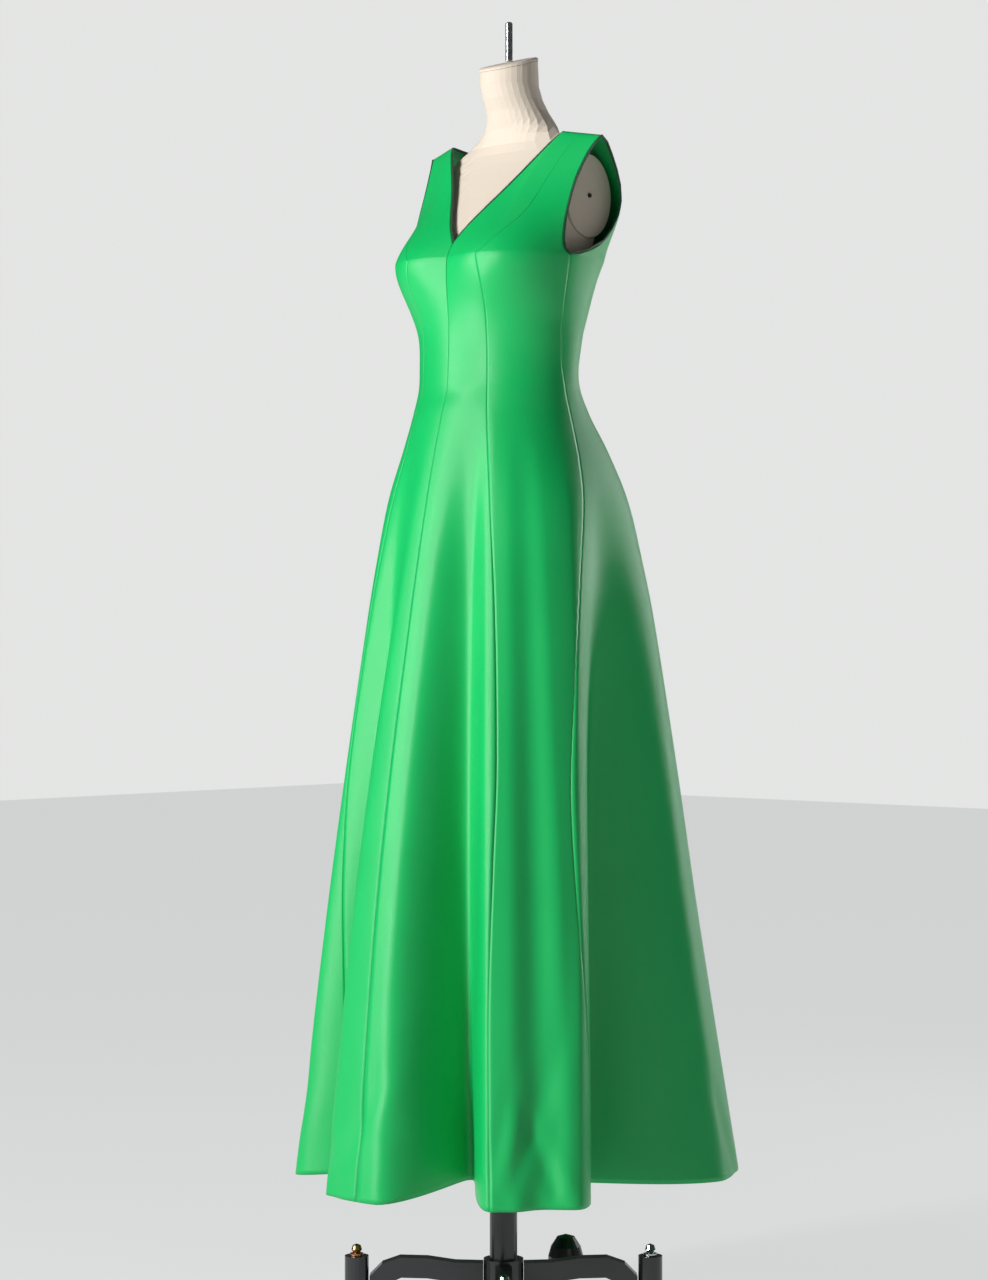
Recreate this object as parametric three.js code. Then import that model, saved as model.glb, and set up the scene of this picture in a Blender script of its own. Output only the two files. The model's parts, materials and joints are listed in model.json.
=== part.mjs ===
// A floor-length satin dress with princess seams, worn by a limbless dress form on a four-legged stand.
// Millimetres, +Z up. The dress faces -Y and its wearer's left is +X. The floor is z = 0.
// Angles go round the pole in degrees: 0 is the centre front, 90 the wearer's left, 180 the centre back.
import * as THREE from 'three';

// ---- driving dimensions --------------------------------------------------------------------------
const HEM_Z = 241; // hem above the floor
const BUST_Z = 1558; // fullest part of the bust, where the armholes start
const CLOTH = 2; // wall of the satin with its turned seams
const SEAM_GAP = 0.4; // between two pieces that are sewn together
const FRONT_POINT = 0.09; // climb from the bust to the shoulder line where the front neckline's point is
const BACK_POINT = 0.33; // and the back neckline's
const EDGING = { width: 2.6, proud: 0.4 }; // narrow dark edging round the neck and armholes

// The shoulder line, from the neck end of a strap to its arm end, by the angle that reaches it.
const SHOULDER = {
  neck: { angle: 35, x: 109, y: 8, z: 1741 },
  arm: { angle: 62, x: 163, y: 26, z: 1732 },
};

// Level sections of the dress before its folds: half width, depth to the front and depth to the back.
const BODY = [
  { z: 241, half: 298, front: 304, back: 366 },
  { z: 611, half: 247, front: 268, back: 303 },
  { z: 835, half: 219, front: 236, back: 268 },
  { z: 1046, half: 197, front: 197, back: 224 },
  { z: 1123, half: 187, front: 182, back: 203 },
  { z: 1217, half: 171, front: 162, back: 174 },
  { z: 1291, half: 145, front: 144, back: 140 },
  { z: 1340, half: 131, front: 131, back: 100 },
  { z: 1385, half: 125, front: 120, back: 71 },
  { z: 1449, half: 127, front: 116, back: 82 },
  { z: 1497, half: 135, front: 114, back: 98 },
  { z: 1558, half: 146, front: 107, back: 116 },
];
const FRONT_POWER = 2; // 2 is an ellipse, more is boxier
const BACK_POWER = 2.3;

// Rounds that stand out of those sections on both sides: place, reach and rise.
const ROUNDS = [
  { name: 'bust', angle: 35, z: 1556, wide: 24, up: 50, down: 46, rise: 38 },
  { name: 'shoulder_blade', angle: 120, z: 1650, wide: 28, up: 62, down: 50, rise: 30 },
];

// Folds sunk into the skirt: where each starts, its angle there and at the hem, how far it reaches to
// either side, its depth at the hem, how it grows, how flat its floor is and how much it lifts the hem.
const FOLDS = [
  { name: 'front_left', top: 1345, from: 24, to: 26, less: 20, more: 12.5, depth: 140, grow: 1.05, flat: 1, lift: 18 },
  { name: 'front_left_crest', top: 1300, from: 52, to: 52, less: 9, more: 9, depth: 13, grow: 0.7, flat: 1, lift: 0 },
  { name: 'side_left', top: 1275, from: 101, to: 89, less: 27, more: 32, depth: 158, grow: 1.0, flat: 0.8, lift: 2 },
  { name: 'back_left', top: 1290, from: 160, to: 160, less: 16, more: 15, depth: 85, grow: 1.1, flat: 1, lift: 6 },
  { name: 'front_right', top: 1325, from: -24, to: -31, less: 15, more: 19, depth: 128, grow: 1.1, flat: 1, lift: 12 },
  { name: 'front_right_crest', top: 1280, from: -56, to: -55, less: 9, more: 8, depth: 10, grow: 0.8, flat: 1, lift: 0 },
  { name: 'side_right', top: 1260, from: -100, to: -93, less: 30, more: 27, depth: 148, grow: 1.05, flat: 0.85, lift: 3 },
  { name: 'back_right', top: 1300, from: -156, to: -157, less: 17, more: 15, depth: 78, grow: 1.1, flat: 1, lift: 5 },
];
const LIFT_REACH = 320; // height over which a fold's lift of the hem dies out

// The angles of the seams below the bust, the same on both sides.
const SEAMS = [
  { z: 241, front: 38.3, side: 72, back: 141 },
  { z: 500, front: 37.5, side: 68, back: 141 },
  { z: 700, front: 38.5, side: 66, back: 142 },
  { z: 842, front: 39.5, side: 67, back: 143 },
  { z: 1062, front: 38.2, side: 75, back: 144 },
  { z: 1217, front: 35, side: 84, back: 146 },
  { z: 1316, front: 32, side: 88, back: 147 },
  { z: 1368, front: 31, side: 86, back: 148 },
  { z: 1425, front: 30.6, side: 83, back: 149 },
  { z: 1497, front: 29.5, side: 81, back: 150 },
  { z: 1558, front: 26, side: 80, back: 150 },
];

// Above the bust the same seams and the armhole's edges run up to the shoulder line. climb is 0 at the
// bust and 1 at the shoulder line.
const STRAPS = [
  { climb: 0, front: 26, armFront: 80, armBack: 80, back: 150 },
  { climb: 0.03, front: 29, armFront: 75.5, armBack: 94, back: 149 },
  { climb: 0.09, front: 33, armFront: 72.5, armBack: 107, back: 146 },
  { climb: 0.16, front: 38, armFront: 70.8, armBack: 113.5, back: 142 },
  { climb: 0.24, front: 43, armFront: 69.3, armBack: 117, back: 138 },
  { climb: 0.33, front: 46, armFront: 68, armBack: 118.5, back: 135 },
  { climb: 0.44, front: 47.3, armFront: 66.5, armBack: 118.7, back: 133 },
  { climb: 0.56, front: 48, armFront: 65, armBack: 118.4, back: 132 },
  { climb: 0.7, front: 48.3, armFront: 63.8, armBack: 118.2, back: 131.6 },
  { climb: 0.85, front: 48.5, armFront: 62.6, armBack: 118, back: 131.5 },
  { climb: 1, front: 48.5, armFront: 62, armBack: 118, back: 131.5 },
];
const FRONT_LEAN = 1; // how late the front and the back lean in towards the shoulder line
const BACK_LEAN = 2.2;
const FRONT_RISE = 1.25; // how soon they level out at it
const BACK_RISE = 1.7;
const FAN = 1.5; // how late they fan out sideways

// Heights of the rows below the bust.
const ROW_HEIGHTS = [
  241, 325, 415, 510, 605, 700, 790, 875, 955, 1030, 1105, 1175, 1235, 1285, 1330, 1372, 1412, 1454, 1497, 1528, 1558,
];

// The dress form: level rings with their front, their back, half width and how boxy they are.
const FORM_RINGS = [
  { z: 1130, front: -96, back: 108, half: 144, power: 2.2 },
  { z: 1165, front: -104, back: 119, half: 154, power: 2.2 },
  { z: 1210, front: -108, back: 124, half: 157, power: 2.2 },
  { z: 1250, front: -106, back: 116, half: 148, power: 2.2 },
  { z: 1295, front: -103, back: 100, half: 128, power: 2.1 },
  { z: 1340, front: -101, back: 78, half: 114, power: 2.1 },
  { z: 1385, front: -100, back: 58, half: 110, power: 2.1 },
  { z: 1449, front: -98, back: 70, half: 112, power: 2.1 },
  { z: 1500, front: -97, back: 86, half: 120, power: 2.1 },
  { z: 1558, front: -96, back: 101, half: 132, power: 2.1 },
  { z: 1592, front: -86, back: 104, half: 139, power: 2.2 },
  { z: 1620, front: -71, back: 106, half: 143, power: 2.2 },
  { z: 1650, front: -51, back: 104, half: 146, power: 2.2 },
  { z: 1680, front: -30, back: 90, half: 145, power: 2.2 },
  { z: 1703, front: -14, back: 72, half: 139, power: 2.1 },
  { z: 1720, front: -3, back: 59, half: 120, power: 2.1 },
  { z: 1734, front: 3, back: 56, half: 94, power: 2 },
  { z: 1746, front: 3, back: 64, half: 76, power: 2 },
  { z: 1757, front: 0, back: 76, half: 64, power: 2 },
  { z: 1768, front: -6, back: 81, half: 54, power: 2 },
  { z: 1782, front: -12, back: 74, half: 47, power: 2 },
  { z: 1798, front: -22, back: 64, half: 44, power: 2 },
  { z: 1818, front: -30, back: 56, half: 43, power: 2 },
];
const FORM_SIDES = 32;
const FORM_BUST = { angle: 35, z: 1552, wide: 22, up: 38, down: 38, rise: 27 };
const ARM_PLANE = 126; // the form's flat sides, where arms would start
const NECK = { z: 1848, y: 12, radius: 43, tilt: 17 }; // the neck's cut top, leaning forward
const CAP = { thick: 5, proud: 0.8 };
const ROD = { radius: 5.2, rise: 56 };
const ARM_PLATE = { y: 37, z: 1650, wide: 98, tall: 120, thick: 5 };
const ARM_SCREW = { radius: 3.6, thick: 2.4 };

// The stand: a pole that slides in an upright sleeve, and four arched legs on posts with glides.
const POLE = { radius: 16, bottom: 112 };
const SLEEVE = { bore: 16.5, radius: 20, bottom: 74, top: 360 };
const HUB = { radius: 29, bottom: 80, top: 117 };
const HOLDER = { radius: 60, thick: 10 }; // disc between the pole and the form's underside
const LEG = { wide: 24, turn: 42, count: 4 };
const LEG_TOP = [[29.4, 112], [70, 113], [110, 119], [150, 120], [176, 111], [194, 93]];
const LEG_UNDERSIDE = [[194, 62], [172, 80], [148, 91], [110, 90], [70, 84], [29.4, 84]];
const POST = { reach: 213, radius: 17.5, bottom: 35, top: 121 };
const GLIDE = { radius: 21, thick: 34.7 };
const KNOB = { radius: 8, rise: 17 };
const PEDAL = { reach: 131, turn: 177, radius: 26, low: 96, high: 134 };

// ---- small helpers -------------------------------------------------------------------------------
const radians = THREE.MathUtils.degToRad;
const group = new THREE.Group();

const FINISH = {
  satin: { color: 0x02a05a, roughness: 0.38, metalness: 0 },
  edging: { color: 0x053c22, roughness: 0.55, metalness: 0 },
  linen: { color: 0xe2d5c2, roughness: 0.85, metalness: 0 },
  chrome: { color: 0xc8c8c8, roughness: 0.15, metalness: 1 },
  iron: { color: 0x17181a, roughness: 0.4, metalness: 0.3 },
  brass: { color: 0xa9713d, roughness: 0.3, metalness: 1 },
  rubber: { color: 0x202020, roughness: 0.8, metalness: 0 },
};

function add(name, geometry, finish) {
  const mesh = new THREE.Mesh(geometry, new THREE.MeshStandardMaterial(FINISH[finish]));
  mesh.name = name;
  group.add(mesh);
  return mesh;
}

// One column of a table at x, along a smooth curve through its rows.
function smooth(rows, key, column, x) {
  const last = rows.length - 1;
  const at = THREE.MathUtils.clamp(x, rows[0][key], rows[last][key]);
  let i = 0;
  while (i < last - 1 && rows[i + 1][key] < at) i += 1;
  const slope = (k) => {
    const before = rows[Math.max(k - 1, 0)];
    const after = rows[Math.min(k + 1, last)];
    return (after[column] - before[column]) / (after[key] - before[key]);
  };
  const [low, high] = [rows[i], rows[i + 1]];
  const span = high[key] - low[key];
  const t = (at - low[key]) / span;
  const rise = high[column] - low[column];
  const a = slope(i) * span - rise;
  const b = rise - slope(i + 1) * span;
  return low[column] + rise * t + t * (1 - t) * (a * (1 - t) + b * t);
}

const bell = (x) => Math.exp(-0.5 * x * x);

// How far a round stands out at an angle and a height.
function roundAt(round, angle, z) {
  const across = (Math.abs(angle) - round.angle) / round.wide;
  const along = (z - round.z) / (z > round.z ? round.up : round.down);
  return round.rise * bell(across) * bell(along);
}

// ---- the dress's surface ---------------------------------------------------------------------------
// Radius of a level section before rounds and folds.
function sectionRadius(angle, z) {
  const sine = Math.abs(Math.sin(radians(angle)));
  const cosine = Math.cos(radians(angle));
  const power = cosine > 0 ? FRONT_POWER : BACK_POWER;
  const depth = smooth(BODY, 'z', cosine > 0 ? 'front' : 'back', z);
  const half = smooth(BODY, 'z', 'half', z);
  return ((sine / half) ** power + (Math.abs(cosine) / depth) ** power) ** (-1 / power);
}

// How much of a fold there is at an angle and a height, 0 to 1.
function foldShare(fold, angle, z) {
  if (z >= fold.top) return 0;
  const fallen = (fold.top - z) / (fold.top - HEM_Z);
  const centre = THREE.MathUtils.lerp(fold.from, fold.to, fallen);
  const away = THREE.MathUtils.euclideanModulo(angle - centre + 180, 360) - 180;
  const share = Math.abs(away) / (away < 0 ? fold.less : fold.more);
  if (share >= 1) return 0;
  return Math.max(fallen, 0) ** fold.grow * (0.5 + 0.5 * Math.cos(Math.PI * share)) ** fold.flat;
}

function skirtPoint(angle, z) {
  let radius = sectionRadius(angle, z);
  let lift = 0;
  const near = Math.max(0, 1 - (z - HEM_Z) / LIFT_REACH) ** 2;
  for (const round of ROUNDS) radius += roundAt(round, angle, z);
  for (const fold of FOLDS) {
    const share = foldShare(fold, angle, z);
    radius -= fold.depth * share;
    lift += fold.lift * share * near;
  }
  const turn = radians(angle);
  return new THREE.Vector3(radius * Math.sin(turn), -radius * Math.cos(turn), z + lift);
}

// Above the bust each line climbs from the bust's section to the shoulder line.
function strapPoint(angle, climb) {
  const side = Math.sign(angle) || 1;
  const turned = Math.abs(angle);
  const isFront = turned < 90;
  const reach = isFront ? turned : 180 - turned;
  const { neck, arm } = SHOULDER;
  const along = (reach - neck.angle) / (arm.angle - neck.angle);
  const onStrap = Math.max(along, 0);
  const top = new THREE.Vector3(
    along < 0 ? (neck.x * reach) / neck.angle : neck.x + (arm.x - neck.x) * along,
    neck.y + (arm.y - neck.y) * onStrap,
    neck.z + (arm.z - neck.z) * onStrap,
  );
  const turn = radians(turned);
  const radius = sectionRadius(turned, BUST_Z);
  const lean = climb ** (isFront ? FRONT_LEAN : BACK_LEAN);
  const fan = climb ** FAN;
  const rise = 1 - (1 - climb) ** (isFront ? FRONT_RISE : BACK_RISE);
  const x = THREE.MathUtils.lerp(radius * Math.sin(turn), top.x, fan);
  const y = THREE.MathUtils.lerp(-radius * Math.cos(turn), top.y, lean);
  const z = BUST_Z + (top.z - BUST_Z) * rise;
  let out = 0;
  for (const round of ROUNDS) out += roundAt(round, turned, z) * (1 - climb ** 3);
  return new THREE.Vector3(side * (x + out * Math.sin(turn)), y - out * Math.cos(turn), z);
}

// A place on the dress: an angle with a height below the bust, or with a climb above it.
const surface = (angle, row) => (row.climb > 0 ? strapPoint(angle, row.climb) : skirtPoint(angle, row.z));

function outward(angle, row) {
  const turn = 0.4;
  const across = surface(angle + turn, row).sub(surface(angle - turn, row));
  if (row.climb === 1) {
    const level = new THREE.Vector3(0, Math.abs(angle) < 90 ? 1 : -1, 0);
    return across.cross(level).normalize();
  }
  const step = row.climb > 0 ? 0.012 : 2;
  const shift = (by) => {
    if (row.climb > 0) return { climb: THREE.MathUtils.clamp(row.climb + by, 0.001, 1) };
    return { climb: 0, z: Math.min(row.z + by, BUST_Z) };
  };
  const up = surface(angle, shift(step)).sub(surface(angle, shift(-2 * step)));
  return across.cross(up).normalize();
}

const ROWS = [
  ...ROW_HEIGHTS.map((z) => ({ z, climb: 0 })),
  ...STRAPS.slice(1).map(({ climb }) => ({ z: BUST_Z, climb })),
];

// The angle at which a straight neckline crosses a row of the straps.
function necklineAngle(climb, isBack) {
  const { neck } = SHOULDER;
  const pointZ = isBack ? strapPoint(180, BACK_POINT).z : strapPoint(0, FRONT_POINT).z;
  let [low, high] = [0, neck.angle];
  for (let step = 0; step < 30; step += 1) {
    const reach = (low + high) / 2;
    const place = strapPoint(isBack ? 180 - reach : reach, climb);
    const edge = (neck.x * (place.z - pointZ)) / (neck.z - pointZ);
    if (place.x < edge) low = reach;
    else high = reach;
  }
  return isBack ? 180 - high : high;
}

const seamAngle = (name, row) =>
  row.climb > 0 ? smooth(STRAPS, 'climb', name, row.climb) : smooth(SEAMS, 'z', name, row.z);

// The edges of the pieces, each with the angle where it runs in a row and whether it is sewn there.
const EDGES = {
  centreFront: (row) => {
    if (row.climb <= FRONT_POINT) return { angle: 0, sewn: true };
    return { angle: necklineAngle(row.climb, false), sewn: false };
  },
  frontSeam: (row) => ({ angle: seamAngle('front', row), sewn: true }),
  sideFront: (row) => {
    if (row.climb > 0) return { angle: seamAngle('armFront', row), sewn: false };
    return { angle: seamAngle('side', row), sewn: true };
  },
  sideBack: (row) => {
    if (row.climb > 0) return { angle: seamAngle('armBack', row), sewn: false };
    return { angle: seamAngle('side', row), sewn: true };
  },
  backSeam: (row) => ({ angle: seamAngle('back', row), sewn: true }),
  centreBack: (row) => {
    if (row.climb <= BACK_POINT) return { angle: 180, sewn: true };
    return { angle: necklineAngle(row.climb, true), sewn: false };
  },
};

// ---- cloth walls ---------------------------------------------------------------------------------
// One row of a piece: points evenly apart along the cloth from one edge to the other.
function pieceRow(row, first, second, columns, side) {
  const from = first(row);
  const to = second(row);
  const samples = 60;
  const angles = [];
  const lengths = [0];
  let before = null;
  for (let i = 0; i <= samples; i += 1) {
    const angle = side * THREE.MathUtils.lerp(from.angle, to.angle, i / samples);
    const place = surface(angle, row);
    if (before) lengths.push(lengths[i - 1] + place.distanceTo(before));
    angles.push(angle);
    before = place;
  }
  const points = [];
  for (let column = 0; column <= columns; column += 1) {
    const wanted = (lengths[samples] * column) / columns;
    let k = 0;
    while (k < samples - 1 && lengths[k + 1] < wanted) k += 1;
    const share = (wanted - lengths[k]) / (lengths[k + 1] - lengths[k]);
    const angle = THREE.MathUtils.lerp(angles[k], angles[k + 1], share);
    points.push({ place: surface(angle, row), out: outward(angle, row) });
  }
  const pull = (point, inner) => {
    const inward = inner.place.clone().sub(point.place).setLength(SEAM_GAP / 2);
    point.place.add(inward);
  };
  if (from.sewn) pull(points[0], points[1]);
  if (to.sewn) pull(points[columns], points[columns - 1]);
  return points;
}

// A closed wall from a grid of points: its face, its back CLOTH behind and a rim round both.
function wall(grid, flip) {
  const columns = grid[0].length;
  const count = grid.length * columns;
  const positions = [];
  for (const depth of [0, CLOTH]) {
    for (const line of grid) {
      for (const { place, out } of line) positions.push(...place.clone().addScaledVector(out, -depth).toArray());
    }
  }
  const faces = [];
  const quad = (a, b, c, d) => {
    if (flip) faces.push(a, c, b, a, d, c);
    else faces.push(a, b, c, a, c, d);
  };
  const at = (i, j) => i * columns + j;
  for (let i = 0; i + 1 < grid.length; i += 1) {
    for (let j = 0; j + 1 < columns; j += 1) {
      quad(at(i, j), at(i, j + 1), at(i + 1, j + 1), at(i + 1, j));
      quad(count + at(i + 1, j), count + at(i + 1, j + 1), count + at(i, j + 1), count + at(i, j));
    }
  }
  const rim = [];
  for (let j = 0; j < columns - 1; j += 1) rim.push(at(0, j));
  for (let i = 0; i < grid.length - 1; i += 1) rim.push(at(i, columns - 1));
  for (let j = columns - 1; j > 0; j -= 1) rim.push(at(grid.length - 1, j));
  for (let i = grid.length - 1; i > 0; i -= 1) rim.push(at(i, 0));
  rim.forEach((here, k) => {
    const next = rim[(k + 1) % rim.length];
    quad(next, here, count + here, count + next);
  });
  return solid(positions, faces);
}

function solid(positions, faces) {
  const geometry = new THREE.BufferGeometry();
  geometry.setAttribute('position', new THREE.Float32BufferAttribute(positions, 3));
  geometry.setIndex(faces);
  geometry.computeVertexNormals();
  return geometry;
}

// At the shoulder line the front and back pieces part by the seam gap.
function dressPiece(name, first, second, columns, side) {
  const grid = ROWS.map((row) => pieceRow(row, first, second, columns, side));
  const crown = grid[grid.length - 1];
  const below = grid[grid.length - 2];
  const inward = Math.sign(below[0].place.y - crown[0].place.y) * (SEAM_GAP / 2);
  for (const point of crown) point.place.y += inward;
  add(name, wall(grid, side < 0), 'satin');
}

for (const [word, side] of [['left', 1], ['right', -1]]) {
  dressPiece(`front_centre_${word}`, EDGES.centreFront, EDGES.frontSeam, 8, side);
  dressPiece(`front_side_${word}`, EDGES.frontSeam, EDGES.sideFront, 7, side);
  dressPiece(`back_side_${word}`, EDGES.sideBack, EDGES.backSeam, 12, side);
  dressPiece(`back_centre_${word}`, EDGES.backSeam, EDGES.centreBack, 7, side);
}

// ---- edging --------------------------------------------------------------------------------------
// A closed band beside an edge: a four-sided section carried round, mitred at the turns.
function edging(name, path, openTowards) {
  const positions = [];
  const faces = [];
  const count = path.length;
  path.forEach(({ place, out }, i) => {
    const before = path[(i + count - 1) % count].place;
    const after = path[(i + 1) % count].place;
    const sideOf = (from, to) => {
      const along = to.clone().sub(from);
      return along.cross(out).normalize();
    };
    const [one, two] = [sideOf(before, place), sideOf(place, after)];
    const across = one.clone().add(two).normalize();
    if (across.dot(openTowards.clone().sub(place)) < 0) across.negate();
    const mitre = 1 / Math.max(Math.abs(across.dot(one)), 0.45);
    for (const [away, depth] of [
      [SEAM_GAP, EDGING.proud],
      [SEAM_GAP + EDGING.width, EDGING.proud],
      [SEAM_GAP + EDGING.width, -CLOTH - EDGING.proud],
      [SEAM_GAP, -CLOTH - EDGING.proud],
    ]) {
      const corner = place.clone().addScaledVector(across, away * mitre).addScaledVector(out, depth);
      positions.push(...corner.toArray());
    }
  });
  for (let i = 0; i < count; i += 1) {
    const next = (i + 1) % count;
    for (let k = 0; k < 4; k += 1) {
      const m = (k + 1) % 4;
      faces.push(4 * i + k, 4 * next + k, 4 * next + m, 4 * i + k, 4 * next + m, 4 * i + m);
    }
  }
  add(name, facingOut(solid(positions, faces)), 'edging');
}

// Turns a closed shape's faces so that they point out.
function facingOut(geometry) {
  const place = geometry.getAttribute('position');
  const index = Array.from(geometry.getIndex().array);
  const [a, b, c] = [new THREE.Vector3(), new THREE.Vector3(), new THREE.Vector3()];
  let volume = 0;
  for (let i = 0; i < index.length; i += 3) {
    a.fromBufferAttribute(place, index[i]);
    b.fromBufferAttribute(place, index[i + 1]);
    c.fromBufferAttribute(place, index[i + 2]);
    volume += a.dot(b.cross(c));
  }
  if (volume < 0) {
    for (let i = 0; i < index.length; i += 3) [index[i + 1], index[i + 2]] = [index[i + 2], index[i + 1]];
    geometry.setIndex(index);
    geometry.computeVertexNormals();
  }
  return geometry;
}

const edgePoint = (angle, row) => ({ place: surface(angle, row), out: outward(angle, row) });
const climbing = ROWS.filter((row) => row.climb > 0);
const falling = [...climbing].reverse().slice(1);

for (const [word, side] of [['left', 1], ['right', -1]]) {
  const bust = { z: BUST_Z, climb: 0 };
  const path = [edgePoint(side * EDGES.sideFront(bust).angle, bust)];
  for (const row of climbing) path.push(edgePoint(side * EDGES.sideFront(row).angle, row));
  for (const row of falling) path.push(edgePoint(side * EDGES.sideBack(row).angle, row));
  edging(`armhole_edging_${word}`, path, new THREE.Vector3(side * 150, 22, 1650));
}

const neckPath = [];
const frontRows = climbing.filter((row) => row.climb > FRONT_POINT);
const backRows = falling.filter((row) => row.climb > BACK_POINT);
neckPath.push(edgePoint(0, { climb: FRONT_POINT }));
for (const row of frontRows) neckPath.push(edgePoint(EDGES.centreFront(row).angle, row));
for (const row of backRows) neckPath.push(edgePoint(EDGES.centreBack(row).angle, row));
neckPath.push(edgePoint(180, { climb: BACK_POINT }));
for (const row of [...backRows].reverse()) neckPath.push(edgePoint(-EDGES.centreBack(row).angle, row));
for (const row of [...frontRows].reverse()) neckPath.push(edgePoint(-EDGES.centreFront(row).angle, row));
edging('neck_edging', neckPath, new THREE.Vector3(0, 20, 1700));

// ---- the dress form ------------------------------------------------------------------------------
// A closed shape through level rings: sides between them and flat ends.
function loft(rings) {
  const count = rings[0].length;
  const positions = rings.flat().flatMap((point) => point.toArray());
  const faces = [];
  for (let i = 0; i + 1 < rings.length; i += 1) {
    for (let j = 0; j < count; j += 1) {
      const m = (j + 1) % count;
      const [a, b, c, d] = [i * count + j, i * count + m, (i + 1) * count + m, (i + 1) * count + j];
      faces.push(a, b, c, a, c, d);
    }
  }
  for (const [ring, up] of [[0, false], [rings.length - 1, true]]) {
    const middle = rings[ring].reduce((sum, point) => sum.add(point), new THREE.Vector3()).divideScalar(count);
    positions.push(...middle.toArray());
    const hub = positions.length / 3 - 1;
    for (let j = 0; j < count; j += 1) {
      const [a, b] = [ring * count + j, ring * count + ((j + 1) % count)];
      if (up) faces.push(a, b, hub);
      else faces.push(b, a, hub);
    }
  }
  return facingOut(solid(positions, faces));
}

function formRing(z) {
  const column = (name) => smooth(FORM_RINGS, 'z', name, z);
  const [front, back, half, power] = ['front', 'back', 'half', 'power'].map(column);
  const middle = (front + back) / 2;
  const depth = (back - front) / 2;
  const ring = [];
  for (let i = 0; i < FORM_SIDES; i += 1) {
    const angle = (360 * i) / FORM_SIDES;
    const turn = radians(angle);
    const sine = Math.sin(turn);
    const cosine = Math.cos(turn);
    const radius = (Math.abs(sine / half) ** power + Math.abs(cosine / depth) ** power) ** (-1 / power);
    const out = roundAt(FORM_BUST, angle > 180 ? angle - 360 : angle, z);
    const x = THREE.MathUtils.clamp((radius + out) * sine, -ARM_PLANE, ARM_PLANE);
    ring.push(new THREE.Vector3(x, middle - (radius + out) * cosine, z));
  }
  return ring;
}

// The neck's cut top leans forward, so its ring is turned about X.
function neckRing(radius, lift) {
  const centre = new THREE.Vector3(0, NECK.y, NECK.z);
  const lean = new THREE.Euler(radians(NECK.tilt), 0, 0);
  const ring = [];
  for (let i = 0; i < FORM_SIDES; i += 1) {
    const turn = (2 * Math.PI * i) / FORM_SIDES;
    const point = new THREE.Vector3(radius * Math.sin(turn), -radius * Math.cos(turn), lift);
    ring.push(point.applyEuler(lean).add(centre));
  }
  return ring;
}

const formRings = FORM_RINGS.flatMap(({ z }, i) => {
  const next = FORM_RINGS[i + 1];
  return next && next.z - z > 52 ? [formRing(z), formRing((z + next.z) / 2)] : [formRing(z)];
});
add('form_torso', loft([...formRings, neckRing(NECK.radius, 0)]), 'linen');
add('form_neck_cap', loft([
  neckRing(NECK.radius + CAP.proud, SEAM_GAP),
  neckRing(NECK.radius + CAP.proud, SEAM_GAP + CAP.thick * 0.6),
  neckRing(NECK.radius - 2, SEAM_GAP + CAP.thick),
]), 'linen');

// Upright round pieces are turned on a lathe: rows of radius and height from the axis to the axis.
function turned(name, profile, finish, x = 0, y = 0, sides = 24) {
  const points = profile.map(([radius, height]) => new THREE.Vector2(radius, height));
  const geometry = new THREE.LatheGeometry(points, sides);
  geometry.rotateX(Math.PI / 2);
  const mesh = add(name, geometry, finish);
  mesh.position.set(x, y, 0);
  return mesh;
}

const disc = (radius, low, high) => [[0, low], [radius, low], [radius, high], [0, high]];

const capTop = NECK.z + CAP.thick + 3;
turned('form_neck_rod', [
  [0, capTop],
  [ROD.radius, capTop],
  [ROD.radius, capTop + ROD.rise - 1.5],
  [ROD.radius - 1.5, capTop + ROD.rise],
  [0, capTop + ROD.rise],
], 'chrome', 0, NECK.y, 16);

for (const [word, side] of [['left', 1], ['right', -1]]) {
  const outline = new THREE.Shape();
  outline.absellipse(0, 0, ARM_PLATE.wide / 2, ARM_PLATE.tall / 2, 0, 2 * Math.PI);
  const plate = new THREE.ExtrudeGeometry(outline, {
    depth: ARM_PLATE.thick - 2, bevelThickness: 1, bevelSize: 1, bevelOffset: -1, bevelSegments: 1, curveSegments: 16,
  });
  plate.rotateX(Math.PI / 2).rotateZ(Math.PI / 2);
  const mesh = add(`form_arm_plate_${word}`, plate, 'linen');
  mesh.position.set(side * (ARM_PLANE + SEAM_GAP + ARM_PLATE.thick / 2) - (ARM_PLATE.thick - 2) / 2, ARM_PLATE.y, ARM_PLATE.z);
  const screw = new THREE.CylinderGeometry(ARM_SCREW.radius - 1, ARM_SCREW.radius, ARM_SCREW.thick, 14);
  screw.rotateZ((-side * Math.PI) / 2);
  const screwX = side * (ARM_PLANE + ARM_PLATE.thick + 2 * SEAM_GAP + ARM_SCREW.thick / 2);
  add(`form_arm_screw_${word}`, screw, 'iron').position.set(screwX, ARM_PLATE.y, ARM_PLATE.z);
}

// ---- the stand -----------------------------------------------------------------------------------
const formBottom = FORM_RINGS[0].z;
const holderLow = formBottom - SEAM_GAP - HOLDER.thick;
turned('form_holder', disc(HOLDER.radius, holderLow, holderLow + HOLDER.thick), 'iron');
turned('pole', disc(POLE.radius, POLE.bottom, holderLow - SEAM_GAP), 'chrome');

const tube = (bore, radius, low, high) => [[bore, low], [radius, low], [radius, high], [bore, high], [bore, low]];
turned('pole_sleeve', tube(SLEEVE.bore, SLEEVE.radius, SLEEVE.bottom, SLEEVE.top), 'iron');
turned('stand_hub', tube(SLEEVE.radius + SEAM_GAP, HUB.radius, HUB.bottom, HUB.top), 'iron');

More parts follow.
